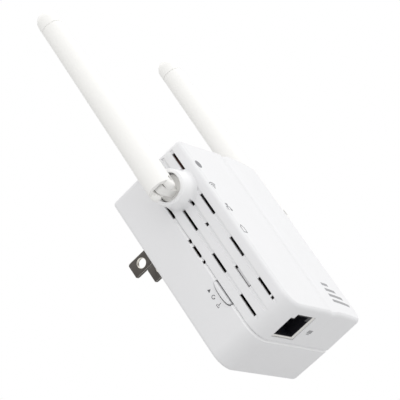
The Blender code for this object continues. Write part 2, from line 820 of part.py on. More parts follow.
def main_parts():
    half = MAIN_BOARD_HALF
    board = boxes(
        "main_board",
        [((-half, MAIN_BOARD_Y[0], MAIN_BOARD_Z[0]), (half, MAIN_BOARD_Y[1], MAIN_BOARD_Z[1]))],
    )
    notches = boxes(
        "board_notches",
        [
            ((-30 * MM, -25 * MM, 67.3 * MM), (-18.6 * MM, -10 * MM, 80 * MM)),
            ((18.6 * MM, -25 * MM, 67.3 * MM), (30 * MM, -10 * MM, 80 * MM)),
            ((18.1 * MM, -25 * MM, -5 * MM), (30 * MM, -10 * MM, 10.0 * MM)),
            ((-30 * MM, -25 * MM, -5 * MM), (-21.5 * MM, -10 * MM, 6.0 * MM)),
        ],
    )
    cut(board, notches)
    paint(board, GREEN, 0.4)

    top = MAIN_BOARD_Y[0] - GAP
    can = boxes(
        "shield_can",
        [((SHIELD_X[0], top - SHIELD_RISE, SHIELD_Z[0]), (SHIELD_X[1], top, SHIELD_Z[1]))],
    )
    soften(can, 0.4 * MM, 2)
    hollow = boxes(
        "can_hollow",
        [((-3.6 * MM, top - 2.6 * MM, 30.4 * MM), (15.6 * MM, top + 2 * MM, 49.6 * MM))],
    )
    cut(can, hollow)
    paint(can, STEEL, 0.32, 1.0)

    chips = (
        ("radio_chip", (0.5, 35.0), (11.5, 45.0), 1.1),
        ("memory_chip", (4.0, 19.0), (9.5, 27.0), 1.6),
        ("lan_transformer", (-20.0, 18.6), (-7.5, 25.0), 3.4),
    )
    for name, low, high, tall in chips:
        chip = boxes(
            name,
            [((low[0] * MM, top - tall * MM, low[1] * MM), (high[0] * MM, top, high[1] * MM))],
        )
        soften(chip, 0.2 * MM, 1)
        paint(chip, BLACK, 0.5)

    for number, z in enumerate(LED_Z, start=1):
        led = boxes(
            "led_%d" % number,
            [((LED_X[0], top - LED_RISE, z - LED_HALF), (LED_X[1], top, z + LED_HALF))],
        )
        paint(led, (0.9, 0.9, 0.82), 0.25)

    guide = boxes(
        "light_guide",
        [
            (
                (GUIDE_BAR_X[0], GUIDE_BAR_Y[0], GUIDE_BAR_Z[0]),
                (GUIDE_BAR_X[1], GUIDE_BAR_Y[1], GUIDE_BAR_Z[1]),
            ),
        ],
    )
    posts = []
    arms = []
    for z in LED_Z:
        post_end = top - GAP - LED_RISE
        posts.append(((GUIDE_POST_X, GUIDE_FRONT_Y, z - LED_HALF), (LED_X[1], post_end, z + LED_HALF)))
        arms.append(((-22.2 * MM, -27.1 * MM, z - 0.6 * MM), (-20.2 * MM, -25.9 * MM, z + 0.6 * MM)))
    join(guide, boxes("guide_arms", arms))
    join(guide, boxes("guide_posts", posts))
    paint(guide, (0.85, 0.87, 0.9), 0.1)

    header = boxes(
        "board_header",
        [
            (
                (HEADER_X[0], MAIN_BOARD_Y[1] + GAP, HEADER_Z[0]),
                (HEADER_X[1], POWER_BOARD_Y[0] - GAP, HEADER_Z[1]),
            ),
        ],
    )
    soften(header, 0.2 * MM, 1)
    paint(header, BLACK, 0.5)


def jack():
    left = JACK_X - JACK_WIDTH / 2
    right = JACK_X + JACK_WIDTH / 2
    end = JACK_FACE_Z + JACK_LENGTH
    housing = boxes(
        "jack_housing",
        [((left + 0.1 * MM, JACK_FRONT_Y, 2.4 * MM), (right - 0.1 * MM, JACK_BACK_Y, end))],
    )
    nose = prism("jack_nose", port_face(0.0), JACK_FACE_Z, 4 * MM, "XY")
    join(housing, nose)
    half = PORT_WIDTH / 2
    latch = LATCH_WIDTH / 2
    points = [
        (JACK_X - half, PORT_BACK_Y),
        (JACK_X + half, PORT_BACK_Y),
        (JACK_X + half, PORT_FRONT_Y),
        (JACK_X + latch, PORT_FRONT_Y),
        (JACK_X + latch, LATCH_FRONT_Y),
        (JACK_X - latch, LATCH_FRONT_Y),
        (JACK_X - latch, PORT_FRONT_Y),
        (JACK_X - half, PORT_FRONT_Y),
    ]
    cut(housing, prism("jack_hollow", points, -3 * MM, end + 2 * MM, "XY"))
    soften(housing, 0.2 * MM, 1)
    paint(housing, (0.84, 0.82, 0.77), 0.42)

    # Back block of the comb, and one sloping contact for each way
    block = boxes(
        "jack_contacts",
        [
            (
                (JACK_X - half + GAP, PORT_FRONT_Y + GAP, 13.4 * MM),
                (JACK_X + half - GAP, PORT_BACK_Y - GAP, end - 0.2 * MM),
            )
        ],
    )
    for k in range(CONTACTS):
        x = JACK_X + (k - (CONTACTS - 1) / 2) * CONTACT_PITCH
        points = [
            (-22.9 * MM, 13.8 * MM),
            (-23.35 * MM, 13.8 * MM),
            (-21.6 * MM, 5.4 * MM),
            (-21.0 * MM, 5.4 * MM),
            (-21.1 * MM, 5.9 * MM),
        ]
        join(block, prism("contact_%d" % k, points, x - CONTACT_HALF, x + CONTACT_HALF, "YZ"))
    paint(block, GOLD, 0.3, 1.0)


# ---------------------------------------------------------------- reset button


def reset_parts():
    half = BUTTON_LENGTH / 2 - GAP / 2
    outer_x = -CASE_WIDTH / 2
    where = (outer_x, SPLIT_Y + 1.0 * MM, BUTTON_Z)
    shape = button_shape(half, 1.6 * MM, 0.0)
    local = [(y - where[1], z - where[2]) for y, z in shape]
    cap = prism("reset_button", local, -BUTTON_RISE, 2.3 * MM, "YZ", where)
    soften(cap, 0.55 * MM, 4, 50.0)
    # Flange behind the case wall, which keeps the button in
    low = (outer_x + 2.1 * MM, -16.7 * MM, BUTTON_Z - 4.4 * MM)
    high = (outer_x + 2.9 * MM, -13.9 * MM, BUTTON_Z + 4.4 * MM)
    flange = boxes("button_flange", [(low, high)])
    join(cap, flange)
    paint(cap, WHITE, 0.3)

    base = boxes(
        "switch_base",
        [((SWITCH_X[0], MAIN_BOARD_Y[1] + GAP, SWITCH_Z[0]), (SWITCH_X[1], SWITCH_FRONT_Y, SWITCH_Z[1]))],
    )
    socket = rods("switch_socket", [((PLUNGER_Y, BUTTON_Z), 1.5 * MM, -24 * MM, -21.4 * MM, 24)], "X")
    cut(base, socket)
    soften(base, 0.2 * MM, 1)
    paint(base, BLACK, 0.5)
    plunger = turned(
        "switch_plunger",
        [
            (0.0, 1.2 * MM),
            (0.8 * MM, 1.2 * MM),
            (1.1 * MM, 0.9 * MM),
            (1.1 * MM, -1.2 * MM),
            (0.0, -1.2 * MM),
        ],
        20,
        (0.0, -math.pi / 2, 0.0),
        (PLUNGER_X, PLUNGER_Y, BUTTON_Z),
    )
    paint(plunger, (0.6, 0.3, 0.1), 0.45)


# ---------------------------------------------------------------- screws


def case_screw(number, x, z):
    profile = [
        (0.0, 0.0),
        (1.7 * MM, 0.0),
        (2.15 * MM, -0.35 * MM),
        (2.15 * MM, -1.2 * MM),
        (1.0 * MM, -1.5 * MM),
    ]
    depth, end = THREAD_ENDS
    while depth < end:
        profile.append((THREAD_R[0], -depth * MM))
        profile.append((THREAD_R[1], -(depth + THREAD_PITCH / 2) * MM))
        depth += THREAD_PITCH
    profile += [(0.5 * MM, -16.2 * MM), (0.0, -16.8 * MM)]
    name = "case_screw_%d" % number
    turn = (-math.pi / 2, 0.0, 0.0)
    body = turned(name, profile, 12, turn, (x * MM, -6.3 * MM, z * MM))
    wide = 0.32 * MM
    cross = [
        ((-1.2 * MM, -wide, -0.7 * MM), (1.2 * MM, wide, 1.0 * MM)),
    ]
    across = [
        ((-wide, -1.2 * MM, -0.7 * MM), (wide, 1.2 * MM, 1.0 * MM)),
    ]
    for letter, limits in (("a", cross), ("b", across)):
        slot = boxes("drive_%s_%d" % (letter, number), limits, body.location)
        slot.rotation_euler = turn
        cut(body, slot)
    return paint(body, STEEL, 0.35, 1.0)


# ---------------------------------------------------------------- antennas


def antenna(word, side):
    centre = (0.0, BOSS_Y, BOSS_Z)
    turn = (0.0, side * math.pi / 2, 0.0)

    # Disc and shaft, spun about the boss axis, with a tongue for the pin
    profile = [
        (0.0, CUP_FLOOR_X + 3.4 * MM),
        (CUP_R - GAP - 0.3 * MM, CUP_FLOOR_X + 3.4 * MM),
        (CUP_R - GAP, CUP_FLOOR_X + 3.1 * MM),
        (CUP_R - GAP, CUP_FLOOR_X + GAP),
        (SHAFT_R, CUP_FLOOR_X + GAP),
        (SHAFT_R, CLIP_GROOVE_X[1]),
        (SHAFT_R - CLIP_GROOVE, CLIP_GROOVE_X[1]),
        (SHAFT_R - CLIP_GROOVE, CLIP_GROOVE_X[0]),
        (SHAFT_R, CLIP_GROOVE_X[0]),
        (SHAFT_R, SHAFT_END_X),
        (LEAD_BORE_R, SHAFT_END_X),
        (LEAD_BORE_R, LEAD_BORE_X),
        (0.0, LEAD_BORE_X),
    ]
    swivel = turned("swivel_" + word, profile, 32, turn, centre)
    pin_dx = side * PIN_X
    # Tongue outline in X and Z about the pin, ending inside the disc
    inner = side * (CUP_FLOOR_X + 2.4 * MM)
    if side < 0:
        arc = disc(TONGUE_R, 12, (pin_dx, PIN_Z), 90.0, 270.0)
        points = arc + [(inner, PIN_Z - TONGUE_R), (inner, PIN_Z + TONGUE_R)]
    else:
        arc = disc(TONGUE_R, 12, (pin_dx, PIN_Z), -90.0, 90.0)
        points = arc + [(inner, PIN_Z + TONGUE_R), (inner, PIN_Z - TONGUE_R)]
    half_tongue = FORK_GAP / 2 - GAP
    tongue = prism("tongue_" + word, points, BOSS_Y - half_tongue, BOSS_Y + half_tongue, "XZ")
    join(swivel, tongue)
    pin_hole = rods(
        "tongue_hole_" + word,
        [((pin_dx, PIN_Z), PIN_R + GAP, BOSS_Y - 10 * MM, BOSS_Y + 10 * MM, 20)],
        "Y",
    )
    cut(swivel, pin_hole)
    paint(swivel, WARM_WHITE, 0.34)

    # C clip in the shaft's groove
    clip_points = disc(CLIP_R, 20, (0.0, 0.0), -145.0, 145.0)
    clip_points += list(reversed(disc(SHAFT_R - CLIP_GROOVE + GAP, 20, (0.0, 0.0), -145.0, 145.0)))
    place = (side * CLIP_X, BOSS_Y, BOSS_Z)
    clip = prism("swivel_clip_" + word, clip_points, -CLIP_HALF, CLIP_HALF, "YZ", place)
    paint(clip, STEEL, 0.3, 1.0)

    # Sleeve, tip and radiator share the pin as origin
    where = (pin_dx, BOSS_Y, PIN_Z)
    low = -1.1 * MM
    high = SLEEVE_TOP_Z - PIN_Z
    profile = [
        (SLEEVE_R_HIGH, high),
        (SLEEVE_R_HIGH + 0.2 * MM, high * 0.75),
        (SLEEVE_R_HIGH + 0.45 * MM, high * 0.45),
        (SLEEVE_R_LOW - 0.15 * MM, high * 0.16),
        (SLEEVE_R_LOW, high * 0.1),
        (SLEEVE_R_LOW, SLEEVE_LOW_Z),
        (HINGE_ROOM_R, SLEEVE_LOW_Z),
        (HINGE_ROOM_R, HINGE_ROOM_Z),
        (SLEEVE_BORE - SLEEVE_STEP, 7.5 * MM),
        (SLEEVE_BORE - SLEEVE_STEP, high - TIP_SOCKET),
        (SLEEVE_BORE, high - TIP_SOCKET),
        (SLEEVE_BORE, high),
    ]
    sleeve = turned("antenna_sleeve_" + word, profile, 36, (0.0, 0.0, 0.0), where, closed=True)
    # Ears: solid each side of the tongue, with round ends below the pin
    ear = disc(EAR_HALF, 14, (0.0, -EAR_DROP), 180.0, 360.0)
    ear += [(EAR_HALF, 6.5 * MM), (-EAR_HALF, 6.5 * MM)]
    ear_in = FORK_GAP / 2
    for tag, y0, y1 in (("front", -EAR_OUT, -ear_in), ("back", ear_in, EAR_OUT)):
        shaped = prism("ear_%s_%s" % (tag, word), ear, y0, y1, "XZ", where)
        soften(shaped, EAR_ROUND, 3, 60.0)
        trim_r = SLEEVE_R_LOW - 0.05 * MM
        round_bar = [(0.0, 10 * MM), (trim_r, 10 * MM), (trim_r, -10 * MM), (0.0, -10 * MM)]
        trim = turned("ear_trim_%s_%s" % (tag, word), round_bar, 36, (0.0, 0.0, 0.0), where)
        boolean(shaped, trim, "INTERSECT")
    # Remove the tube below its rim and the slot for the tongue, then put the ears back
    below = boxes(
        "below_rim_" + word,
        [((-8 * MM, -8 * MM, -9 * MM), (8 * MM, 8 * MM, low))],
        where,
    )
    cut(sleeve, below)
    slot_out = 3.4 * MM
    slot_x = (-slot_out, 8 * MM) if side < 0 else (-8 * MM, slot_out)
    slot = boxes(
        "fork_slot_" + word,
        [((slot_x[0], -ear_in, -9 * MM), (slot_x[1], ear_in, 4.6 * MM))],
        where,
    )
    cut(sleeve, slot)
    for tag in ("front", "back"):
        join(sleeve, bpy.data.objects["ear_%s_%s" % (tag, word)])
    pin_bore = rods(
        "ear_holes_" + word,
        [((0.0, 0.0), PIN_R + 0.05 * MM, -8 * MM, 8 * MM, 20)],
        "Y",
        where,
    )
    cut(sleeve, pin_bore)
    paint(sleeve, WARM_WHITE, 0.36)

    pin = rods("hinge_pin_" + word, [((0.0, 0.0), PIN_R, -PIN_HALF, PIN_HALF, 20)], "Y", where)
    paint(pin, STEEL, 0.3, 1.0)

    tip_low = SLEEVE_TOP_Z - PIN_Z + 0.1 * MM
    tip_high = TIP_Z - PIN_Z
    r = SLEEVE_R_HIGH
    dome = tip_high - tip_low - 3.4 * MM
    profile = [(0.0, tip_high)]
    for k in range(1, 7):
        a = math.radians(90.0 - 15.0 * k)
        profile.append((r * math.cos(a), tip_high - dome + dome * math.sin(a)))
    profile += [
        (r, tip_low + 0.2 * MM),
        (r - 0.15 * MM, tip_low),
        (SLEEVE_BORE - 0.3 * MM, tip_low),
        (SLEEVE_BORE - 0.3 * MM, tip_low - TIP_PLUG),
        (TIP_BORE_R, tip_low - TIP_PLUG),
        (TIP_BORE_R, tip_low + 1.0 * MM),
        (0.0, tip_low + 1.0 * MM),
    ]
    tip = turned("antenna_tip_" + word, profile, 30, (0.0, 0.0, 0.0), where)
    paint(tip, WARM_WHITE, 0.36)

    core_low = RADIATOR_LOW
    core_high = high - 9 * MM
    profile = [
        (0.0, core_high),
        (RADIATOR_R[0], core_high),
        (RADIATOR_R[0], core_high - RADIATOR_COIL[1]),
        (RADIATOR_R[1], core_high - RADIATOR_COIL[1]),
        (RADIATOR_R[1], core_low + RADIATOR_COIL[0]),
        (RADIATOR_R[2], core_low + RADIATOR_COIL[0]),
        (RADIATOR_R[2], core_low),
        (0.0, core_low),
    ]
    core = turned("antenna_core_" + word, profile, 16, (0.0, 0.0, 0.0), where)
    paint(core, GOLD, 0.3, 1.0)

    # Lead from the main board into the hollow shaft
    curve = bpy.data.curves.new("coax_" + word, "CURVE")
    curve.dimensions = "3D"
    curve.bevel_depth = COAX_R
    curve.bevel_resolution = 2
    curve.use_fill_caps = True
    curve.resolution_u = 8
    spline = curve.splines.new("BEZIER")
    stops = (
        ((26.5, -23.8, 61.8), (3.0, 0.0, 0.0)),
        ((19.0, -22.6, 60.6), (2.4, -0.6, 1.2)),
        ((15.6, -21.0, 56.0), (0.4, -0.8, 2.2)),
        ((15.4, -19.6, 52.4), (0.0, 0.0, 1.4)),
    )
    spline.bezier_points.add(len(stops) - 1)
    for point, (co, pull) in zip(spline.bezier_points, stops):
        point.co = (side * co[0] * MM, co[1] * MM, co[2] * MM)
        point.handle_left_type = "FREE"
        point.handle_right_type = "FREE"
        back = (side * pull[0] * MM, pull[1] * MM, pull[2] * MM)
        point.handle_left = [point.co[i] + back[i] for i in range(3)]
        point.handle_right = [point.co[i] - back[i] for i in range(3)]
    coax = linked("coax_" + word, curve)
    paint(coax, (0.03, 0.03, 0.035), 0.45)


rear_cover()
front_cover()
blade_carrier()
power_parts()
main_parts()
jack()
reset_parts()
for side, word in ((-1, "left"), (1, "right")):
    blade(word, side)
    contact_spring(word, side)
    antenna(word, side)
for number, (x, z) in enumerate(POSTS, start=1):
    case_screw(number, x, z)

# Origin at the middle of the wall face
for obj in bpy.data.objects:
    if obj.parent is None:
        obj.location.z -= CASE_HEIGHT / 2
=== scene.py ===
"""Looks of the plug-in wifi range extender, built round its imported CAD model.

Everything is in metres in the CAD model's frame: +Z up along the antennas, -Y the front, +Y into the
wall, and the origin in the middle of the wall face.
"""

import math

import bmesh
import bpy
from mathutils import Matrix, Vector
from mathutils.bvhtree import BVHTree


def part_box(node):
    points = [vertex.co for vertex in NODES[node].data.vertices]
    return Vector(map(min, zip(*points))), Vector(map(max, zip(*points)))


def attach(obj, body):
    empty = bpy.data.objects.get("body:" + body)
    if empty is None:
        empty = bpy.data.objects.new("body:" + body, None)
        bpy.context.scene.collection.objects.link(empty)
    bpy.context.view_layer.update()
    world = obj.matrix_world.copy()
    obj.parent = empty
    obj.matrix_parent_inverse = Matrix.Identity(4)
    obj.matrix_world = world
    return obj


MM = 0.001

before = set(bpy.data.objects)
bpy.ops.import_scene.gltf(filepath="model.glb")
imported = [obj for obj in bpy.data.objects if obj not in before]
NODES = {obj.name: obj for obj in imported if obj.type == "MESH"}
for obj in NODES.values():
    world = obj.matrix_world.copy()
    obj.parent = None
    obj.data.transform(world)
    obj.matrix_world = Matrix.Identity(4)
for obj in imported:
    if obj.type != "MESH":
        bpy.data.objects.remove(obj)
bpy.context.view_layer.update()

case_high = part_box("rear_cover")[1]
HALF_WIDTH = case_high.x
HALF_HEIGHT = case_high.z
FRONT_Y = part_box("front_cover")[0].y
PORT_MOUTH_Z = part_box("jack_housing")[0].z
BLADE_LOW, BLADE_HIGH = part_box("blade_left")
BUTTON_LOW, BUTTON_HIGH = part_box("reset_button")
CONTACTS_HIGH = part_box("jack_contacts")[1]
SPLIT_GAP = 0.15 * MM
SPLIT_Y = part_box("front_cover")[1].y + SPLIT_GAP

# Camera
TARGET = (-10.1 * MM, -21.9 * MM, 24.1 * MM)
DISTANCE = 660.0 * MM
AZIMUTH = -69.8
ELEVATION = -26.76
ROLL = -34.57
LENS = 165.8
SENSOR = 36.0
CLIP = (0.01, 50.0)

# Light: the sky's brightness is a level plus a slope along each axis
SKY_LEVEL = 0.875
SKY_SLOPE = (-0.06, -0.30, 0.33)
FLOOR_Z = -1.0
FLOOR_SIDE = 3.2
FLOOR_TONES = ((0.66, 0.66, 0.66), (0.69, 0.69, 0.69))
KEY_PLACE = (0.5, -1.1, 0.9)
KEY_SIDE = 0.9
KEY_POWER = 2.0

# Surfaces
EDGE_R = 0.22 * MM
LOW_CORNER = 7.0 * MM
WELD_UNDER = 0.001 * MM
SMOOTH_UNDER = math.radians(32.0)
NOISE_LOW = 0.3
NOISE_HIGH = 0.7
BEVEL_SAMPLES = 6
# How far the rounded normal agrees with the flat one: on the flat, and on an edge
EDGE_AGREEMENT = (0.995, 0.86)

# Scales of the noises in moulded plastic, and in metal
CLOUD_SCALE = 55.0
GLOSS_SCALE = 420.0
SPARK_SCALE = 5200.0
PATCH_SCALE = 260.0
PLASTIC_SPECULAR = 0.42
FLOOR_ROUGHNESS = 0.8

# Where the case turns to painted shade inside, in place of the shadow in its slots and gaps: depths under
# the outer faces, and places that stay light
PAINTED_SHADE_FROM = 0.75 * MM
PAINTED_SHADE_TO = 1.15 * MM
FRONT_WALL = 1.4 * MM
LIGHT_DEPTH = 2.0 * MM
# Above this height the painted shade turns brown, a painted reddish light
UPPER_Z = 25.0 * MM
UPPER_FADE = 2.0 * MM
SHALLOW_Y = (-26.2 * MM, -25.1 * MM)
SHALLOW_Z = (-21.9 * MM, -13.7 * MM)
POST_HOLE_R = 2.9 * MM
BUTTON_ROOM = 0.8 * MM
ZONE_FACTOR = -1000.0

# Port: the depth over which its rim turns to painted shade, and where the light strips beside and behind it
# start
PORT_FADE = (0.25 * MM, 0.9 * MM)
PORT_BESIDE = 0.55 * MM
PORT_BEHIND = 0.45 * MM
PORT_EDGE = 0.1 * MM

# Painted highlights that make zones paler
BOSS_HIGHLIGHT_FADE = (0.2 * MM, 2.5 * MM)
SEAM_WIDTH = 0.85 * MM
SEAM_START = 0.2 * MM
SEAM_END = 0.15 * MM

# Blades
BLADE_HOLE_BACK = 5.2 * MM
BLADE_HOLE_R = 1.9 * MM
PUNCHED_FADE = (0.14 * MM, 0.1 * MM)


# ---------------------------------------------------------------- node helpers


class Tree:
    """A material's nodes, with short ways to add and join them."""

    def __init__(self, name):
        self.material = bpy.data.materials.new(name)
        self.material.use_nodes = True
        self.nodes = self.material.node_tree.nodes
        self.links = self.material.node_tree.links
        self.shader = self.nodes["Principled BSDF"]
        self.place = self.add("ShaderNodeTexCoord").outputs["Object"]

    def add(self, kind, settings=None, **inputs):
        made = self.nodes.new(kind)
        for key, value in (settings or {}).items():
            setattr(made, key, value)
        for key, value in inputs.items():
            self.put(value, made.inputs[key.replace("_", " ")])
        return made

    def put(self, value, socket):
        if isinstance(value, bpy.types.NodeSocket):
            self.links.new(value, socket)
        else:
            socket.default_value = value

    def set(self, **inputs):
        for key, value in inputs.items():
            self.put(value, self.shader.inputs[key.replace("_", " ")])

    def math(self, operation, first, second=0.0):
        made = self.add("ShaderNodeMath", {"operation": operation})
        self.put(first, made.inputs[0])
        self.put(second, made.inputs[1])
        return made.outputs[0]

    def scaled(self, factors):
        made = self.add("ShaderNodeVectorMath", {"operation": "MULTIPLY"})
        self.put(self.place, made.inputs[0])
        made.inputs[1].default_value = factors
        return made.outputs[0]

    def noise(self, scale, detail=3.0, roughness=0.55, vector=None):
        made = self.add("ShaderNodeTexNoise", Scale=scale, Detail=detail, Roughness=roughness)
        self.put(vector or self.place, made.inputs["Vector"])
        return made.outputs["Fac"]

    def ramp(self, value, low, high, to_low=0.0, to_high=1.0, smooth=False):
        made = self.add("ShaderNodeMapRange", Value=value)
        made.interpolation_type = "SMOOTHSTEP" if smooth else "LINEAR"
        made.inputs["From Min"].default_value = low
        made.inputs["From Max"].default_value = high
        made.inputs["To Min"].default_value = to_low
        made.inputs["To Max"].default_value = to_high
        return made.outputs["Result"]

    def spread(self, value, to_low=0.0, to_high=1.0):
        """The middle of a noise's range, stretched over the given values."""
        return self.ramp(value, NOISE_LOW, NOISE_HIGH, to_low, to_high)

    def uneven_gloss(self, scale, least, most):
        self.set(Roughness=self.spread(self.noise(scale), least, most))

    def mix(self, factor, first, second):
        made = self.add("ShaderNodeMix", {"data_type": "RGBA"})
        self.put(factor, made.inputs[0])
        for value, socket in ((first, made.inputs[6]), (second, made.inputs[7])):
            self.put(value if isinstance(value, bpy.types.NodeSocket) else (*value, 1.0), socket)
        return made.outputs[2]

    def axes(self):
        return self.add("ShaderNodeSeparateXYZ", Vector=self.place).outputs

    def soft_edges(self, radius):
        return self.add("ShaderNodeBevel", {"samples": BEVEL_SAMPLES}, Radius=radius).outputs[0]

    def edges(self, radius):
        """1 on a convex or concave edge and 0 on the flat."""
        flat = self.add("ShaderNodeNewGeometry").outputs["Normal"]
        dot = self.add("ShaderNodeVectorMath", {"operation": "DOT_PRODUCT"})
        self.links.new(self.soft_edges(radius), dot.inputs[0])
        self.links.new(flat, dot.inputs[1])
        return self.ramp(dot.outputs["Value"], *EDGE_AGREEMENT)

    def bump(self, height, strength, distance, radius=EDGE_R):
        made = self.add("ShaderNodeBump", Strength=strength, Distance=distance, Height=height)
        if radius:
            self.links.new(self.soft_edges(radius), made.inputs["Normal"])
        self.links.new(made.outputs["Normal"], self.shader.inputs["Normal"])


def shade(colour, factor):
    return tuple(channel * factor for channel in colour)


# ---------------------------------------------------------------- materials

WHITE = (0.81, 0.81, 0.82)
WARM_WHITE = (0.93, 0.923, 0.900)
# Colour of the painted highlight on the bosses and along the seam
PAINTED_HIGHLIGHT_WHITE = (0.92, 0.92, 0.925)
# Painted shade for the case's inside and slots, then the same painted shade tinted brown near the top as
# painted reddish light
PAINTED_SHADE = (0.030, 0.014, 0.011)
PAINTED_REDDISH_SHADE = (0.16, 0.068, 0.050)
# Painted shade for the inside of the port
PAINTED_PORT_SHADE = (0.010, 0.010, 0.014)
CARRIER_WHITE = (0.80, 0.80, 0.79)
CREAM = (0.78, 0.768, 0.735)
AMBER = (0.55, 0.26, 0.06)

# Metals: the flat's colour, then the colour of the painted highlight on the edges
NICKEL = ((0.115, 0.106, 0.098), (0.92, 0.88, 0.80))
STEEL = ((0.56, 0.56, 0.57), (0.75, 0.75, 0.76))
GOLD = ((0.78, 0.57, 0.24), (0.95, 0.78, 0.42))

# Pairs of colours that a pattern or a noise moves between
BOARD_GREENS = ((0.012, 0.085, 0.035), (0.03, 0.17, 0.06))
BLACKS = ((0.012, 0.012, 0.013), (0.035, 0.035, 0.037))
FERRITE_GREYS = ((0.045, 0.045, 0.05), (0.12, 0.12, 0.125))
TAPE_YELLOWS = ((0.55, 0.38, 0.04), (0.80, 0.62, 0.12))
FUSE_COLOURS = ((0.10, 0.30, 0.17), (0.55, 0.42, 0.1))
RESIN_TINTS = ((0.80, 0.80, 0.66), (0.92, 0.92, 0.84))
GUIDE_TINTS = ((0.80, 0.84, 0.88), (0.90, 0.92, 0.95))
JACKET_BLACKS = ((0.03, 0.03, 0.033), (0.015, 0.015, 0.016))
TINNED_PAD = (0.62, 0.60, 0.56)

# Shrink sleeves: the sleeve's colour, then the stripe's colour
INPUT_SLEEVE = ((0.02, 0.03, 0.09), (0.6, 0.6, 0.62))
OUTPUT_SLEEVE = ((0.015, 0.07, 0.05), (0.6, 0.55, 0.2))

ICON_INK = (0.22, 0.22, 0.23)
PALE_INK = (0.30, 0.30, 0.31)
MARK_INK = (0.10, 0.10, 0.105)


def moulded(name, colour, roughness, inside=None, grain=1.0, painted_highlight=None, deep=PAINTED_SHADE):
    """Satin injection-moulded plastic: fine spark grain, faint clouding, slightly uneven gloss, with an
    optional painted highlight and an optional painted shade inside.
    """
    tree = Tree(name)
    cloud = tree.spread(tree.noise(CLOUD_SCALE, 4.0))
    body = tree.mix(cloud, shade(colour, 0.985), colour)
    # Painted highlight that makes a zone paler
    if painted_highlight:
        body = tree.mix(painted_highlight(tree), body, PAINTED_HIGHLIGHT_WHITE)
    # Painted shade inside the case and its slots, tinted brown near the top as painted reddish light
    if inside:
        upper = tree.ramp(tree.axes()[2], UPPER_Z, UPPER_Z + UPPER_FADE)
        body = tree.mix(inside(tree), body, tree.mix(upper, deep, PAINTED_REDDISH_SHADE))
    tree.set(Base_Color=body)
    tree.uneven_gloss(GLOSS_SCALE, roughness - 0.04, roughness + 0.05)
    tree.shader.inputs["Specular IOR Level"].default_value = PLASTIC_SPECULAR
    tree.bump(tree.noise(SPARK_SCALE, 2.0, 0.7), 0.10 * grain, 0.03 * MM)
    return tree.material


def distance(tree, first, second):
    """Length of the hypotenuse over two values."""
    squares = tree.math("MULTIPLY", first, first)
    squares = tree.math("ADD", squares, tree.math("MULTIPLY", second, second))
    return tree.math("SQRT", squares)


def outside_zone(tree, depth, low, high):
    """Makes the depth negative within a box, and leaves it as it is elsewhere."""
    within = 1.0
    for value, least, most in zip(tree.axes(), low, high):
        within = tree.math("MINIMUM", within, tree.math("SUBTRACT", value, least))
        within = tree.math("MINIMUM", within, tree.math("SUBTRACT", most, value))
    return tree.math("MINIMUM", depth, tree.math("MULTIPLY", within, ZONE_FACTOR))


def painted_shade_by_depth(tree, front_y, keep_round=(), light_zones=()):
    """Painted shade: 1 well inside the case's walls, 0 outside them, in the screw posts' holes and in the
    light zones.
    """
    x, y, z = tree.axes()
    from_side = tree.math("SUBTRACT", tree.math("ABSOLUTE", x), HALF_WIDTH - LOW_CORNER)
    from_low = tree.math("SUBTRACT", LOW_CORNER - HALF_HEIGHT, z)
    out = distance(tree, tree.math("MAXIMUM", from_side, 0.0), tree.math("MAXIMUM", from_low, 0.0))
    depth = tree.math("SUBTRACT", LOW_CORNER, out)
    depth = tree.math("MINIMUM", depth, tree.math("SUBTRACT", HALF_HEIGHT, z))
    depth = tree.math("MINIMUM", depth, tree.math("SUBTRACT", y, front_y))
    depth = tree.math("MINIMUM", depth, tree.math("SUBTRACT", 0.0, y))
    for centre_x, centre_z, radius in keep_round:
        away = distance(tree, tree.math("SUBTRACT", x, centre_x), tree.math("SUBTRACT", z, centre_z))
        depth = tree.math("MINIMUM", depth, tree.math("SUBTRACT", away, radius))
    for low, high in light_zones:
        depth = outside_zone(tree, depth, low, high)
    return tree.ramp(depth, PAINTED_SHADE_FROM, PAINTED_SHADE_TO, smooth=True)


def button_zone():
    """The walls of the gap round the reset button."""
    low = (-HALF_WIDTH - BUTTON_ROOM, SPLIT_Y - BUTTON_ROOM, BUTTON_LOW.z - BUTTON_ROOM)
    high = (-HALF_WIDTH + LIGHT_DEPTH, BUTTON_HIGH.y + BUTTON_ROOM, BUTTON_HIGH.z + BUTTON_ROOM)
    return low, high


def boss_highlight(tree):
    """1 on the antenna bosses, which stand out from the sides: a painted highlight makes them paler."""
    out = tree.math("ABSOLUTE", tree.axes()[0])
    return tree.ramp(out, HALF_WIDTH + BOSS_HIGHLIGHT_FADE[0], HALF_WIDTH + BOSS_HIGHLIGHT_FADE[1], smooth=True)


def seam_highlight(tree):
    """1 on the rear cover's wide chamfer along the parting line: a painted highlight where the chamfer
    catches the light.
    """
    y = tree.axes()[1]
    start = tree.ramp(y, SPLIT_Y - SEAM_START, SPLIT_Y)
    end = tree.ramp(y, SPLIT_Y + SEAM_WIDTH, SPLIT_Y + SEAM_WIDTH + SEAM_END, 1.0, 0.0)
    return tree.math("MULTIPLY", start, end)


def front_painted_shade(tree):
    """Painted shade: 1 inside the front cover, but for the button's gap and the shallow slot of each side.
    """
    zones = [button_zone()]
    for low_x, high_x in ((-HALF_WIDTH, -HALF_WIDTH + LIGHT_DEPTH), (HALF_WIDTH - LIGHT_DEPTH, HALF_WIDTH)):
        zones.append(((low_x, SHALLOW_Y[0], SHALLOW_Z[0]), (high_x, SHALLOW_Y[1], SHALLOW_Z[1])))
    return painted_shade_by_depth(tree, FRONT_Y + FRONT_WALL, light_zones=zones)


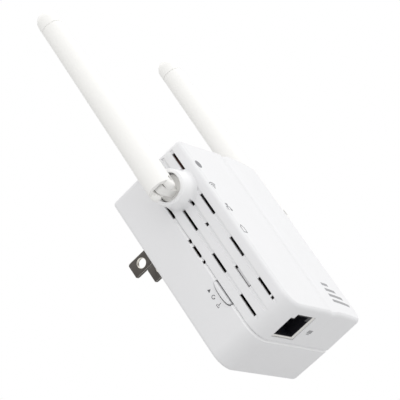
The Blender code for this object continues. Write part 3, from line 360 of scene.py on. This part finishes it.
def rear_painted_shade(tree):
    """Painted shade: 1 inside the rear cover, but for the screws' holes and the button's gap."""
    rounds = []
    for number in (1, 2, 3):
        low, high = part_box("case_screw_%d" % number)
        rounds.append(((low.x + high.x) / 2, (low.z + high.z) / 2, POST_HOLE_R))
    return painted_shade_by_depth(tree, FRONT_Y, rounds, [button_zone()])


def port_painted_shade(tree):
    """Painted shade: dark in the port and on the thin walls round it, light on the strip beside it and
    behind it.
    """
    x, y, z = tree.axes()
    # Painted shade that deepens down into the port, and on its thin walls
    deep = tree.ramp(z, PORT_MOUTH_Z + PORT_FADE[0], PORT_MOUTH_Z + PORT_FADE[1], smooth=True)
    beside = tree.math("SUBTRACT", x, CONTACTS_HIGH.x + PORT_BESIDE)
    behind = tree.math("SUBTRACT", y, CONTACTS_HIGH.y + PORT_BEHIND)
    wall = tree.ramp(tree.math("MAXIMUM", beside, behind), PORT_EDGE, 0.0)
    return tree.math("MAXIMUM", deep, wall)


def cream_moulding(name):
    return moulded(name, CREAM, 0.42, port_painted_shade, 0.7, deep=PAINTED_PORT_SHADE)


def metal(name, colours, roughness, stretch, edge_radius, bright=None):
    """Drawn or stamped metal: fine lines along one axis, dull patches, a painted highlight on every convex
    and concave edge.
    """
    colour, edge_colour = colours
    tree = Tree(name)
    lines = tree.noise(1.0, 3.0, 0.6, tree.scaled(stretch))
    patches = tree.ramp(tree.noise(PATCH_SCALE, 5.0, 0.65), 0.35, 0.7)
    body = tree.mix(patches, shade(colour, 0.86), colour)
    body = tree.mix(tree.spread(lines, 0.0, 0.25), body, shade(colour, 1.2))
    # Painted highlight on convex and concave edges, and on a hole's wall where given
    edge_highlight = tree.edges(edge_radius)
    if bright:
        edge_highlight = tree.math("MAXIMUM", edge_highlight, bright(tree))
    tree.set(Base_Color=tree.mix(edge_highlight, body, edge_colour))
    tree.set(Roughness=tree.spread(lines, roughness - 0.05, roughness + 0.09))
    tree.shader.inputs["Metallic"].default_value = 1.0
    tree.bump(lines, 0.12, 0.02 * MM, 0.12 * MM)
    return tree.material


def hole_wall(tree):
    """The wall of the hole near a blade's end, which gets the painted edge highlight."""
    y, z = tree.axes()[1:]
    from_y = tree.math("SUBTRACT", y, BLADE_HIGH.y - BLADE_HOLE_BACK)
    from_z = tree.math("SUBTRACT", z, (BLADE_LOW.z + BLADE_HIGH.z) / 2)
    away = distance(tree, from_y, from_z)
    return tree.ramp(away, BLADE_HOLE_R + PUNCHED_FADE[0], BLADE_HOLE_R + PUNCHED_FADE[1])


def nickel():
    return metal("nickel_plate", NICKEL, 0.34, (2600.0, 160.0, 2600.0), 0.22 * MM, hole_wall)


def steel(name):
    return metal(name, STEEL, 0.28, (2600.0, 2600.0, 300.0), 0.15 * MM)


def gold(name):
    return metal(name, GOLD, 0.24, (3000.0, 400.0, 400.0), 0.12 * MM)


def circuit_board():
    """Green mask over copper tracks, with tinned pads."""
    tree = Tree("circuit_board")
    axes = tree.axes()
    flat = tree.add("ShaderNodeCombineXYZ", X=axes[0], Y=axes[2])
    tracks = tree.add("ShaderNodeTexBrick", {"offset": 0.5, "squash": 0.6, "squash_frequency": 3})
    tree.put(flat.outputs[0], tracks.inputs["Vector"])
    for key, value in (("Scale", 190.0), ("Mortar Size", 0.025), ("Brick Width", 0.7), ("Row Height", 0.16)):
        tracks.inputs[key].default_value = value
    pads = tree.add("ShaderNodeTexVoronoi", {"feature": "F1"}, Scale=330.0, Vector=flat.outputs[0])
    pad = tree.ramp(pads.outputs["Distance"], 0.20, 0.17)
    mask = tree.mix(tracks.outputs["Fac"], *BOARD_GREENS)
    tree.set(Base_Color=tree.mix(pad, mask, TINNED_PAD))
    tree.uneven_gloss(600.0, 0.28, 0.4)
    tree.bump(tracks.outputs["Fac"], 0.25, 0.03 * MM, 0.1 * MM)
    return tree.material


def black_moulding():
    tree = Tree("black_moulding")
    grain = tree.noise(4200.0, 2.0)
    tree.set(Base_Color=tree.mix(grain, *BLACKS))
    tree.uneven_gloss(700.0, 0.45, 0.6)
    tree.bump(grain, 0.2, 0.02 * MM, 0.15 * MM)
    return tree.material


def ferrite():
    tree = Tree("ferrite")
    grain = tree.noise(3000.0, 5.0, 0.7)
    tree.set(Base_Color=tree.mix(grain, *FERRITE_GREYS))
    tree.set(Roughness=tree.spread(grain, 0.5, 0.7))
    tree.bump(grain, 0.3, 0.04 * MM, 0.2 * MM)
    return tree.material


def winding_tape():
    """Yellow tape in overlapping turns along Z."""
    tree = Tree("winding_tape")
    turns = tree.add("ShaderNodeTexWave", {"bands_direction": "Z"}, Scale=260.0, Distortion=0.6)
    tree.put(tree.place, turns.inputs["Vector"])
    tree.set(Base_Color=tree.mix(turns.outputs["Fac"], *TAPE_YELLOWS))
    tree.uneven_gloss(500.0, 0.35, 0.5)
    tree.bump(turns.outputs["Fac"], 0.3, 0.05 * MM)
    return tree.material


def sleeved(name, colour, stripe):
    """Shrink sleeve with a pale polarity stripe along X."""
    tree = Tree(name)
    z = tree.axes()[2]
    low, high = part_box(name)
    centre = (low.z + high.z) / 2
    side = tree.math("ABSOLUTE", tree.math("SUBTRACT", z, centre + (high.z - low.z) * 0.32))
    band = tree.ramp(side, 0.75 * MM, 0.6 * MM)
    tree.set(Base_Color=tree.mix(band, colour, stripe))
    tree.uneven_gloss(700.0, 0.26, 0.4)
    tree.bump(tree.noise(1600.0, 3.0), 0.12, 0.03 * MM, 0.2 * MM)
    return tree.material


def coated_fuse():
    tree = Tree("coated_fuse")
    z = tree.axes()[2]
    bands = tree.ramp(tree.math("SINE", tree.math("MULTIPLY", z, 3200.0)), 0.72, 0.8)
    tree.set(Base_Color=tree.mix(bands, *FUSE_COLOURS))
    tree.uneven_gloss(900.0, 0.22, 0.35)
    tree.bump(tree.noise(1500.0, 3.0), 0.15, 0.03 * MM, 0.2 * MM)
    return tree.material


def led_resin():
    tree = Tree("led_resin")
    tree.set(Base_Color=tree.mix(tree.noise(2200.0), *RESIN_TINTS))
    tree.uneven_gloss(900.0, 0.18, 0.3)
    tree.shader.inputs["Transmission Weight"].default_value = 0.2
    tree.bump(tree.noise(2600.0), 0.1, 0.02 * MM, 0.1 * MM)
    return tree.material


def clear_guide():
    tree = Tree("clear_guide")
    tree.set(Base_Color=tree.mix(tree.noise(160.0), *GUIDE_TINTS))
    tree.uneven_gloss(800.0, 0.08, 0.16)
    tree.shader.inputs["Transmission Weight"].default_value = 0.7
    tree.shader.inputs["IOR"].default_value = 1.58
    tree.bump(tree.noise(1200.0), 0.08, 0.02 * MM, 0.15 * MM)
    return tree.material


def amber_moulding():
    return moulded("amber_moulding", AMBER, 0.4)


def jacket():
    """Black coax jacket with a faint braid showing through it."""
    tree = Tree("jacket")
    braid = tree.add("ShaderNodeTexVoronoi", {"feature": "F1"}, Scale=2600.0, Vector=tree.place)
    tree.set(Base_Color=tree.mix(braid.outputs["Distance"], *JACKET_BLACKS))
    tree.uneven_gloss(700.0, 0.4, 0.55)
    tree.bump(braid.outputs["Distance"], 0.2, 0.03 * MM, 0.1 * MM)
    return tree.material


def ink(name, colour):
    """Pad-printed ink: slightly broken up, and a little rougher than the plastic under it."""
    tree = Tree(name)
    cover = tree.ramp(tree.noise(2400.0, 4.0, 0.7), 0.25, 0.6)
    tree.set(Base_Color=tree.mix(cover, shade(colour, 1.25), colour))
    tree.uneven_gloss(900.0, 0.42, 0.55)
    tree.bump(tree.noise(4000.0), 0.15, 0.01 * MM, 0.0)
    return tree.material


def floor_paint():
    tree = Tree("floor_paint")
    tree.set(Base_Color=tree.mix(tree.noise(3.0), *FLOOR_TONES))
    tree.set(Roughness=FLOOR_ROUGHNESS)
    return tree.material


# ---------------------------------------------------------------- CAD nodes


def smooth_group():
    """Geometry nodes that shade every face smooth."""
    group = bpy.data.node_groups.new("shade_smooth", "GeometryNodeTree")
    group.interface.new_socket("Geometry", in_out="INPUT", socket_type="NodeSocketGeometry")
    group.interface.new_socket("Geometry", in_out="OUTPUT", socket_type="NodeSocketGeometry")
    start = group.nodes.new("NodeGroupInput")
    smooth = group.nodes.new("GeometryNodeSetShadeSmooth")
    end = group.nodes.new("NodeGroupOutput")
    group.links.new(start.outputs[0], smooth.inputs["Geometry"])
    group.links.new(smooth.outputs[0], end.inputs[0])
    return group


SMOOTH = smooth_group()


def dress(prefix, material):
    """Gives every CAD node whose name starts like this its material and smooth shading."""
    for name, obj in NODES.items():
        if not name.startswith(prefix):
            continue
        for slot in obj.material_slots:
            slot.material = material
        weld = obj.modifiers.new("weld", "WELD")
        weld.merge_threshold = WELD_UNDER
        smooth = obj.modifiers.new("smooth", "NODES")
        smooth.node_group = SMOOTH
        split = obj.modifiers.new("sharp_edges", "EDGE_SPLIT")
        split.split_angle = SMOOTH_UNDER


BLACK_PARTS = (
    "bridge_rectifier",
    "board_header",
    "radio_chip",
    "memory_chip",
    "lan_transformer",
    "switch_base",
)


def dress_all():
    dress("front_cover", moulded("front_plastic", WHITE, 0.33, front_painted_shade, painted_highlight=boss_highlight))
    dress("rear_cover", moulded("rear_plastic", WHITE, 0.37, rear_painted_shade, painted_highlight=seam_highlight))
    dress("reset_button", moulded("button_plastic", WHITE, 0.33))
    dress("blade_carrier", moulded("carrier_plastic", CARRIER_WHITE, 0.46))
    antenna = moulded("antenna_plastic", WARM_WHITE, 0.38)
    for prefix in ("antenna_sleeve", "antenna_tip", "swivel_left", "swivel_right"):
        dress(prefix, antenna)
    plate = nickel()
    dress("blade_left", plate)
    dress("blade_right", plate)
    dress("contact_spring", gold("spring_brass"))
    dress("antenna_core", gold("radiator_brass"))
    dress("jack_contacts", gold("gold_flash"))
    bright = steel("bright_steel")
    for prefix in ("case_screw", "swivel_clip", "hinge_pin", "shield_can"):
        dress(prefix, bright)
    board = circuit_board()
    dress("power_board", board)
    dress("main_board", board)
    black = black_moulding()
    for prefix in BLACK_PARTS:
        dress(prefix, black)
    dress("transformer_core", ferrite())
    dress("transformer_winding", winding_tape())
    dress("input_capacitor", sleeved("input_capacitor", *INPUT_SLEEVE))
    dress("output_capacitor", sleeved("output_capacitor", *OUTPUT_SLEEVE))
    dress("fuse", coated_fuse())
    dress("led_", led_resin())
    dress("light_guide", clear_guide())
    dress("jack_housing", cream_moulding("jack_cream"))
    dress("switch_plunger", amber_moulding())
    dress("coax", jacket())


# ---------------------------------------------------------------- seam lip

LIP_INSET = 0.75 * MM
LIP_REACH = 0.8 * MM
LIP_HALF = 0.1 * MM
LIP_CORNER_STEPS = 12
# Heights in millimetres from the bottom end: the seam is plain below and above, and between the slots
# and the button that cross it
SEAM_LOW = 15.3
SEAM_STRETCHES = ((26.6, 33.8), (35.4, 36.6), (42.0, 43.1), (45.2, 54.7))
SEAM_HIGH = 64.6


def outline_path(inset, low, high):
    """The case's outline from one side, past an end, to the other side, drawn in by inset."""
    half = HALF_WIDTH - inset
    if low is None:
        return [(-half, high), (-half, HALF_HEIGHT - inset), (half, HALF_HEIGHT - inset), (half, high)]
    radius = LOW_CORNER - inset
    path = [(-half, low)]
    for centre, start in ((LOW_CORNER - HALF_WIDTH, 180.0), (HALF_WIDTH - LOW_CORNER, 270.0)):
        path += disc((centre, LOW_CORNER - HALF_HEIGHT), radius, start, start + 90.0, LIP_CORNER_STEPS)
    path.append((half, low))
    return path


def lip_band(name, outer, inner, material):
    """A closed band between two paths in X and Z, at the parting line."""
    bm = bmesh.new()
    rows = []
    for path, y in ((outer, -LIP_HALF), (outer, LIP_HALF), (inner, LIP_HALF), (inner, -LIP_HALF)):
        rows.append([bm.verts.new((x, SPLIT_Y + y, z)) for x, z in path])
    for i in range(4):
        first, second = rows[i], rows[(i + 1) % 4]
        for k in range(len(first) - 1):
            bm.faces.new((first[k], first[k + 1], second[k + 1], second[k]))
    bm.faces.new([row[0] for row in rows])
    bm.faces.new([row[-1] for row in rows])
    bmesh.ops.recalc_face_normals(bm, faces=bm.faces[:])
    mesh = bpy.data.meshes.new(name)
    bm.to_mesh(mesh)
    bm.free()
    obj = bpy.data.objects.new(name, mesh)
    bpy.context.scene.collection.objects.link(obj)
    mesh.materials.append(material)
    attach(obj, "case")


def seam_lip():
    """The rear cover's locating lip, seen at the bottom of the joint between the covers."""
    material = moulded("lip_plastic", WHITE, 0.4)
    deep = LIP_INSET + LIP_REACH
    low = SEAM_LOW * MM - HALF_HEIGHT
    high = SEAM_HIGH * MM - HALF_HEIGHT
    lip_band("seam_lip_low", outline_path(LIP_INSET, low, None), outline_path(deep, low, None), material)
    lip_band("seam_lip_high", outline_path(LIP_INSET, None, high), outline_path(deep, None, high), material)
    for side, word in ((-1, "left"), (1, "right")):
        for number, (low, high) in enumerate(SEAM_STRETCHES, start=1):
            ends = (low * MM - HALF_HEIGHT, high * MM - HALF_HEIGHT)
            outer = [(side * (HALF_WIDTH - LIP_INSET), z) for z in ends]
            inner = [(side * (HALF_WIDTH - deep), z) for z in ends]
            lip_band("seam_lip_%s_%d" % (word, number), outer, inner, material)


# ---------------------------------------------------------------- printed marks

PRINT_LIFT = 0.03 * MM
PRINT_SINK = 0.02 * MM
PRINT_WELD = 0.0001 * MM
LOOK_FROM = 50.0 * MM
MITRE_LIMIT = 0.4
LAMP_MARK_X = -25.15 * MM
STRENGTH_PLACE = (15.8 * MM, 0.0, -28.0 * MM)
NETWORK_PLACE = (-0.9 * MM, -24.0 * MM, 0.0)
RESET_MARK_Y = -12.5 * MM
# Heights in millimetres from the bottom end
POINTER_HEIGHT = 25.1
RESTART_HEIGHT = 22.2
PRESS_HEIGHT = 18.6

# Strength mark in millimetres: four bars, each so much longer than the last
BAR_START = -7.0
BAR_TOP = 3.8
BAR_PITCH = 2.6
BAR_WIDTH = 1.25
BAR_STEPS = (5, 8, 11, 14)


def disc(centre, radius, start=0.0, end=360.0, steps=28):
    points = []
    whole = end - start >= 360.0
    for k in range(steps if whole else steps + 1):
        a = math.radians(start + (end - start) * k / steps)
        points.append((centre[0] + radius * math.cos(a), centre[1] + radius * math.sin(a)))
    return points


def bar(x0, y0, x1, y1):
    return [(x0, y0), (x1, y0), (x1, y1), (x0, y1)]


def stroke(points, width, closed=False):
    """The quads of a line of even width along the points."""
    count = len(points)
    left, right = [], []
    for i in range(count):
        before = points[i - 1] if closed or i > 0 else points[i]
        after = points[(i + 1) % count] if closed or i < count - 1 else points[i]
        first = Vector((points[i][0] - before[0], points[i][1] - before[1]))
        second = Vector((after[0] - points[i][0], after[1] - points[i][1]))
        first = first.normalized() if first.length else second.normalized()
        second = second.normalized() if second.length else first
        along = (first + second).normalized()
        across = Vector((-along.y, along.x))
        reach = width / 2 / max(MITRE_LIMIT, across.dot(Vector((-first.y, first.x))))
        left.append((points[i][0] + across.x * reach, points[i][1] + across.y * reach))
        right.append((points[i][0] - across.x * reach, points[i][1] - across.y * reach))
    quads = []
    for i in range(count if closed else count - 1):
        j = (i + 1) % count
        quads.append([left[i], right[i], right[j], left[j]])
    return quads


class Surface:
    """A case surface to print on, found by looking at it from outside along one direction."""

    def __init__(self, node, look):
        depsgraph = bpy.context.evaluated_depsgraph_get()
        self.tree = BVHTree.FromObject(NODES[node], depsgraph)
        self.look = Vector(look)

    def point(self, place, lift):
        start = Vector(place) - self.look * LOOK_FROM
        hit = self.tree.ray_cast(start, self.look)[0]
        return hit - self.look * lift


def printed(name, surface, origin, across, up, shapes, colour_material):
    """Flat shapes in millimetres, laid on a surface as a thin film of ink."""
    origin = Vector(origin)
    across = Vector(across)
    up = Vector(up)
    bm = bmesh.new()
    for shape in shapes:
        rows = []
        for lift in (-PRINT_SINK, PRINT_LIFT):
            row = []
            for u, v in shape:
                place = origin + across * (u * MM) + up * (v * MM)
                row.append(bm.verts.new(surface.point(place, lift)))
            rows.append(row)
        bm.faces.new(rows[0])
        bm.faces.new(rows[1])
        for i in range(len(shape)):
            j = (i + 1) % len(shape)
            bm.faces.new((rows[0][i], rows[0][j], rows[1][j], rows[1][i]))
    bmesh.ops.remove_doubles(bm, verts=bm.verts[:], dist=PRINT_WELD)
    bm.normal_update()
    bmesh.ops.recalc_face_normals(bm, faces=bm.faces[:])
    mesh = bpy.data.meshes.new(name)
    bm.to_mesh(mesh)
    bm.free()
    obj = bpy.data.objects.new(name, mesh)
    bpy.context.scene.collection.objects.link(obj)
    mesh.materials.append(colour_material)
    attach(obj, "case")
    return obj


def power_icon():
    """A round lamp mark."""
    return [disc((0, 0), 1.7, steps=36)]


def signal_icon():
    """A dot beside three arcs."""
    shapes = [disc((0, -1.2), 0.38, steps=16)]
    for radius in (1.15, 1.95, 2.75):
        shapes += stroke(disc((0, -1.45), radius, 48.0, 132.0, 12), 0.42)
    return shapes


def network_icon():
    """One box joined to two."""
    shapes = [bar(-0.65, 0.6, 0.65, 1.7), bar(-1.75, -1.7, -0.55, -0.7), bar(0.55, -1.7, 1.75, -0.7)]
    shapes += stroke([(0.0, 0.7), (0.0, 0.0)], 0.36)
    shapes += stroke([(-1.15, -0.8), (-1.15, -0.05), (1.15, -0.05), (1.15, -0.8)], 0.36)
    return shapes


def device_icon():
    """The outline of a box with a pointed end."""
    outline = [(-1.1, -1.7), (1.1, -1.7), (1.1, 0.5), (0.0, 1.7), (-1.1, 0.5)]
    return stroke(outline, 0.4, closed=True)


def screen_icon():
    """A filled screen on its foot."""
    shapes = [bar(-1.45, -0.6, 1.45, 1.0)]
    shapes.append(bar(-1.0, -1.2, 1.0, -0.85))
    return shapes


def pointer_icon():
    return [[(0.0, 0.75), (-0.68, -0.5), (0.68, -0.5)]]


def restart_icon():
    """An arrow that goes round."""
    shapes = stroke(disc((0, 0), 0.66, 75.0, 375.0, 26), 0.24)
    shapes.append([(0.27, 0.1), (1.02, 0.16), (0.62, -0.42)])
    return shapes


def press_icon():
    """A fine pin over a small cup."""
    shapes = [bar(-0.1, -0.05, 0.1, 1.1)]
    shapes.append([(-0.32, 0.1), (0.0, -0.35), (0.32, 0.1)])
    shapes += stroke([(-0.6, -0.2), (-0.6, -0.75), (0.6, -0.75), (0.6, -0.2)], 0.22)
    return shapes


def strength_mark():
    """Four lying bars, each longer than the last, in short lengths that follow the curved front."""
    shapes = []
    for k, steps in enumerate(BAR_STEPS):
        level = BAR_TOP - k * BAR_PITCH
        for step in range(steps):
            start = BAR_START + step
            shapes.append(bar(start, level, start + 1.0, level + BAR_WIDTH))
    return shapes


def print_marks():
    grey = ink("icon_ink", ICON_INK)
    pale = ink("pale_ink", PALE_INK)
    dark = ink("mark_ink", MARK_INK)
    front = Surface("front_cover", (0.0, 1.0, 0.0))
    end = Surface("front_cover", (0.0, 0.0, 1.0))
    side = Surface("rear_cover", (1.0, 0.0, 0.0))
    right = (1.0, 0.0, 0.0)
    up = (0.0, 0.0, 1.0)
    icons = (power_icon, signal_icon, network_icon, device_icon)
    for number, icon in enumerate(icons, start=1):
        low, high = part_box("led_%d" % number)
        origin = (LAMP_MARK_X, 0.0, (low.z + high.z) / 2)
        printed("lamp_mark_%d" % number, front, origin, right, up, icon(), grey)
    printed("strength_mark", front, STRENGTH_PLACE, right, up, strength_mark(), pale)
    front_way = (0.0, -1.0, 0.0)
    printed("network_mark", end, NETWORK_PLACE, right, front_way, screen_icon(), pale)
    places = ((pointer_icon, POINTER_HEIGHT), (restart_icon, RESTART_HEIGHT), (press_icon, PRESS_HEIGHT))
    for number, (icon, height) in enumerate(places, start=1):
        origin = (0.0, RESET_MARK_Y, height * MM - HALF_HEIGHT)
        printed("reset_mark_%d" % number, side, origin, (0.0, 0.0, -1.0), front_way, icon(), dark)


# ---------------------------------------------------------------- stage


def add_camera():
    azimuth = math.radians(AZIMUTH)
    elevation = math.radians(ELEVATION)
    back = Vector(
        (
            math.sin(azimuth) * math.cos(elevation),
            -math.cos(azimuth) * math.cos(elevation),
            math.sin(elevation),
        )
    )
    data = bpy.data.cameras.new("camera")
    data.lens = LENS
    data.sensor_width = SENSOR
    data.clip_start, data.clip_end = CLIP
    camera = bpy.data.objects.new("camera", data)
    bpy.context.scene.collection.objects.link(camera)
    camera.location = Vector(TARGET) + back * DISTANCE
    camera.rotation_euler = (-back).to_track_quat("-Z", "Y").to_euler()
    camera.rotation_euler.rotate_axis("Z", math.radians(ROLL))
    bpy.context.scene.camera = camera


def add_sky():
    world = bpy.data.worlds.new("studio")
    bpy.context.scene.world = world
    world.use_nodes = True
    nodes = world.node_tree.nodes
    links = world.node_tree.links
    background = nodes["Background"]
    direction = nodes.new("ShaderNodeTexCoord").outputs["Generated"]
    slope = nodes.new("ShaderNodeVectorMath")
    slope.operation = "DOT_PRODUCT"
    slope.inputs[1].default_value = SKY_SLOPE
    links.new(direction, slope.inputs[0])
    level = nodes.new("ShaderNodeMath")
    level.operation = "ADD"
    level.inputs[1].default_value = SKY_LEVEL
    links.new(slope.outputs["Value"], level.inputs[0])
    seen = nodes.new("ShaderNodeLightPath").outputs["Is Camera Ray"]
    mixed = nodes.new("ShaderNodeMix")
    links.new(seen, mixed.inputs[0])
    links.new(level.outputs[0], mixed.inputs[2])
    mixed.inputs[3].default_value = 1.0
    background.inputs["Color"].default_value = (1.0, 1.0, 1.0, 1.0)
    links.new(mixed.outputs[0], background.inputs["Strength"])


def add_lamp(name, place, side, power):
    data = bpy.data.lights.new(name, "AREA")
    data.shape = "SQUARE"
    data.size = side
    data.energy = power
    lamp = bpy.data.objects.new(name, data)
    bpy.context.scene.collection.objects.link(lamp)
    lamp.location = place
    lamp.rotation_euler = (-Vector(place)).to_track_quat("-Z", "Y").to_euler()


def add_floor():
    bpy.ops.mesh.primitive_plane_add(size=FLOOR_SIDE, location=(0.0, 0.0, FLOOR_Z))
    floor = bpy.context.active_object
    floor.name = "floor"
    floor.data.materials.append(floor_paint())


add_camera()
add_sky()
add_lamp("key", KEY_PLACE, KEY_SIDE, KEY_POWER)
add_floor()
bpy.context.scene.view_settings.view_transform = "Standard"

dress_all()
seam_lip()
print_marks()
